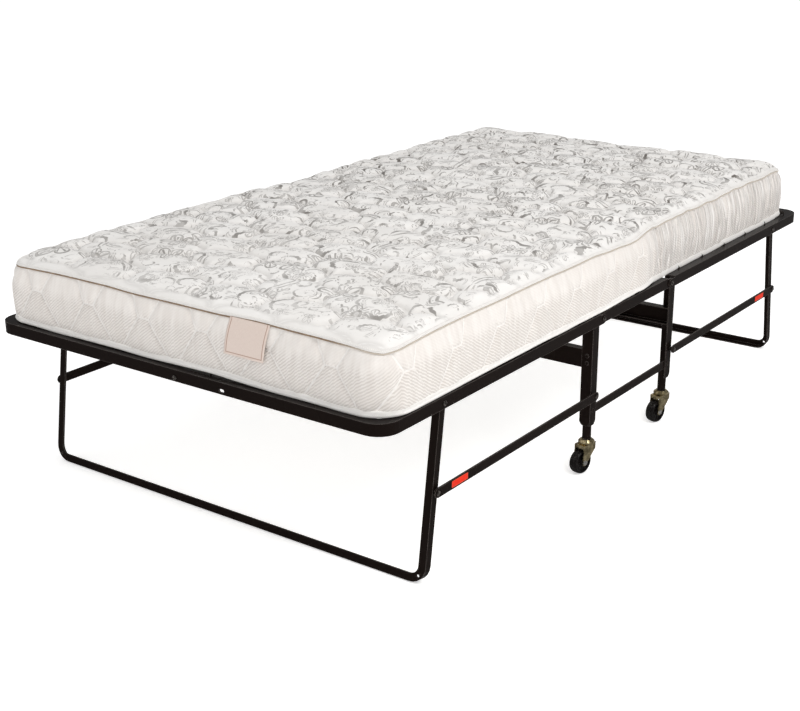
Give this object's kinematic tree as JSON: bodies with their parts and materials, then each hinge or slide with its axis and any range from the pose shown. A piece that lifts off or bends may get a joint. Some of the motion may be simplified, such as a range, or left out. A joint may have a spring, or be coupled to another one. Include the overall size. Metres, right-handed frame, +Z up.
{
  "type": "rollaway folding bed",
  "caption": "Folding bed on casters: angle-iron frame in three hinged sections, splayed folding end legs with link bars, wire deck and a quilted mattress.",
  "frame": {"origin": "on the floor under the middle of the bed", "axes": "+Z up, +Y along the bed towards the far end, +X to the right side seen from the near end"},
  "size_m": [1.0036, 1.8334, 0.48],
  "materials": {
    "frame_enamel": "dark brown semi-gloss enamel",
    "caster_zinc": "yellow zinc plate",
    "wheel_black": "black moulded wheel",
    "bright_steel": "bright plated steel",
    "deck_wire": "zinc-plated wire",
    "mattress_cover": "quilted damask ticking"
  },
  "bodies": {
    "centre_frame": {"centre_rail_right": "frame_enamel", "lower_brace_right": "frame_enamel", "centre_rail_left": "frame_enamel", "lower_brace_left": "frame_enamel", "near_crossbar": "frame_enamel", "near_upright_right": "frame_enamel", "near_stem_right": "frame_enamel", "near_hinge_rivet_right": "frame_enamel", "near_post_rivet_right": "frame_enamel", "near_upright_left": "frame_enamel", "near_stem_left": "frame_enamel", "near_hinge_rivet_left": "frame_enamel", "near_post_rivet_left": "frame_enamel", "far_crossbar": "frame_enamel", "far_upright_right": "frame_enamel", "far_stem_right": "frame_enamel", "far_hinge_rivet_right": "frame_enamel", "far_post_rivet_right": "frame_enamel", "far_upright_left": "frame_enamel", "far_stem_left": "frame_enamel", "far_hinge_rivet_left": "frame_enamel", "far_post_rivet_left": "frame_enamel", "middle_deck": "deck_wire", "middle_mattress": "mattress_cover"},
    "near_section": {"near_rail": "frame_enamel", "near_deck": "deck_wire", "near_mattress": "mattress_cover", "near_leg_rivet_right": "frame_enamel", "near_leg_rivet_left": "frame_enamel", "latch_stud": "frame_enamel"},
    "near_leg_frame": {"near_leg": "frame_enamel"},
    "near_link_right_bar": {"near_link_right": "frame_enamel", "near_link_rivet_right": "frame_enamel"},
    "near_link_left_bar": {"near_link_left": "frame_enamel", "near_link_rivet_left": "frame_enamel"},
    "far_section": {"far_rail": "frame_enamel", "far_deck": "deck_wire", "far_mattress": "mattress_cover", "far_leg_rivet_right": "frame_enamel", "far_leg_rivet_left": "frame_enamel"},
    "far_leg_frame": {"far_leg": "frame_enamel"},
    "far_link_right_bar": {"far_link_right": "frame_enamel", "far_link_rivet_right": "frame_enamel"},
    "far_link_left_bar": {"far_link_left": "frame_enamel", "far_link_rivet_left": "frame_enamel"},
    "near_caster_right_swivel": {"near_caster_right_fork": "caster_zinc", "near_caster_right_axle": "bright_steel"},
    "near_caster_right_roller": {"near_caster_right_wheel": "wheel_black"},
    "near_caster_left_swivel": {"near_caster_left_fork": "caster_zinc", "near_caster_left_axle": "bright_steel"},
    "near_caster_left_roller": {"near_caster_left_wheel": "wheel_black"},
    "far_caster_right_swivel": {"far_caster_right_fork": "caster_zinc", "far_caster_right_axle": "bright_steel"},
    "far_caster_right_roller": {"far_caster_right_wheel": "wheel_black"},
    "far_caster_left_swivel": {"far_caster_left_fork": "caster_zinc", "far_caster_left_axle": "bright_steel"},
    "far_caster_left_roller": {"far_caster_left_wheel": "wheel_black"}
  },
  "joints": [
    {"name": "near_fold", "type": "hinge", "parent": "centre_frame", "child": "near_section", "pos_m": [0, -0.158, 0.3385], "axis": [-1, 0, 0], "range_deg": [0, 90]},
    {"name": "near_leg_swing", "type": "hinge", "parent": "near_section", "child": "near_leg_frame", "pos_m": [0, -0.738, 0.3385], "axis": [-1, 0, 0], "range_deg": [-90, 0]},
    {"name": "near_link_right_swing", "type": "hinge", "parent": "centre_frame", "child": "near_link_right_bar", "pos_m": [0.4954, -0.182, 0.1755], "axis": [-1, 0, 0], "range_deg": [0, 90]},
    {"name": "near_link_left_swing", "type": "hinge", "parent": "centre_frame", "child": "near_link_left_bar", "pos_m": [-0.4954, -0.182, 0.1755], "axis": [-1, 0, 0], "range_deg": [0, 90]},
    {"name": "far_fold", "type": "hinge", "parent": "centre_frame", "child": "far_section", "pos_m": [0, 0.158, 0.3385], "axis": [1, 0, 0], "range_deg": [0, 90]},
    {"name": "far_leg_swing", "type": "hinge", "parent": "far_section", "child": "far_leg_frame", "pos_m": [0, 0.738, 0.3385], "axis": [1, 0, 0], "range_deg": [-90, 0]},
    {"name": "far_link_right_swing", "type": "hinge", "parent": "centre_frame", "child": "far_link_right_bar", "pos_m": [0.4954, 0.182, 0.1755], "axis": [1, 0, 0], "range_deg": [0, 90]},
    {"name": "far_link_left_swing", "type": "hinge", "parent": "centre_frame", "child": "far_link_left_bar", "pos_m": [-0.4954, 0.182, 0.1755], "axis": [1, 0, 0], "range_deg": [0, 90]},
    {"name": "near_caster_right_swivel_turn", "type": "hinge", "parent": "centre_frame", "child": "near_caster_right_swivel", "pos_m": [0.4758, -0.1766, 0.064], "axis": [0, 0, 1], "continuous": true},
    {"name": "near_caster_right_wheel_spin", "type": "hinge", "parent": "near_caster_right_swivel", "child": "near_caster_right_roller", "pos_m": [0.47236, -0.19427, 0.026], "axis": [0.9816, -0.1908, 0], "continuous": true},
    {"name": "near_caster_left_swivel_turn", "type": "hinge", "parent": "centre_frame", "child": "near_caster_left_swivel", "pos_m": [-0.4758, -0.1766, 0.064], "axis": [0, 0, 1], "continuous": true},
    {"name": "near_caster_left_wheel_spin", "type": "hinge", "parent": "near_caster_left_swivel", "child": "near_caster_left_roller", "pos_m": [-0.47924, -0.19427, 0.026], "axis": [0.9816, -0.1908, 0], "continuous": true},
    {"name": "far_caster_right_swivel_turn", "type": "hinge", "parent": "centre_frame", "child": "far_caster_right_swivel", "pos_m": [0.4758, 0.1766, 0.064], "axis": [0, 0, 1], "continuous": true},
    {"name": "far_caster_right_wheel_spin", "type": "hinge", "parent": "far_caster_right_swivel", "child": "far_caster_right_roller", "pos_m": [0.47236, 0.15893, 0.026], "axis": [0.9816, -0.1908, 0], "continuous": true},
    {"name": "far_caster_left_swivel_turn", "type": "hinge", "parent": "centre_frame", "child": "far_caster_left_swivel", "pos_m": [-0.4758, 0.1766, 0.064], "axis": [0, 0, 1], "continuous": true},
    {"name": "far_caster_left_wheel_spin", "type": "hinge", "parent": "far_caster_left_swivel", "child": "far_caster_left_roller", "pos_m": [-0.47924, 0.15893, 0.026], "axis": [0.9816, -0.1908, 0], "continuous": true}
  ],
  "couplings": [
    {"joint": "near_leg_swing", "follows": "near_fold", "ratio": -1},
    {"joint": "near_link_right_swing", "follows": "near_fold", "ratio": 1},
    {"joint": "near_link_left_swing", "follows": "near_fold", "ratio": 1},
    {"joint": "far_leg_swing", "follows": "far_fold", "ratio": -1},
    {"joint": "far_link_right_swing", "follows": "far_fold", "ratio": 1},
    {"joint": "far_link_left_swing", "follows": "far_fold", "ratio": 1}
  ]
}
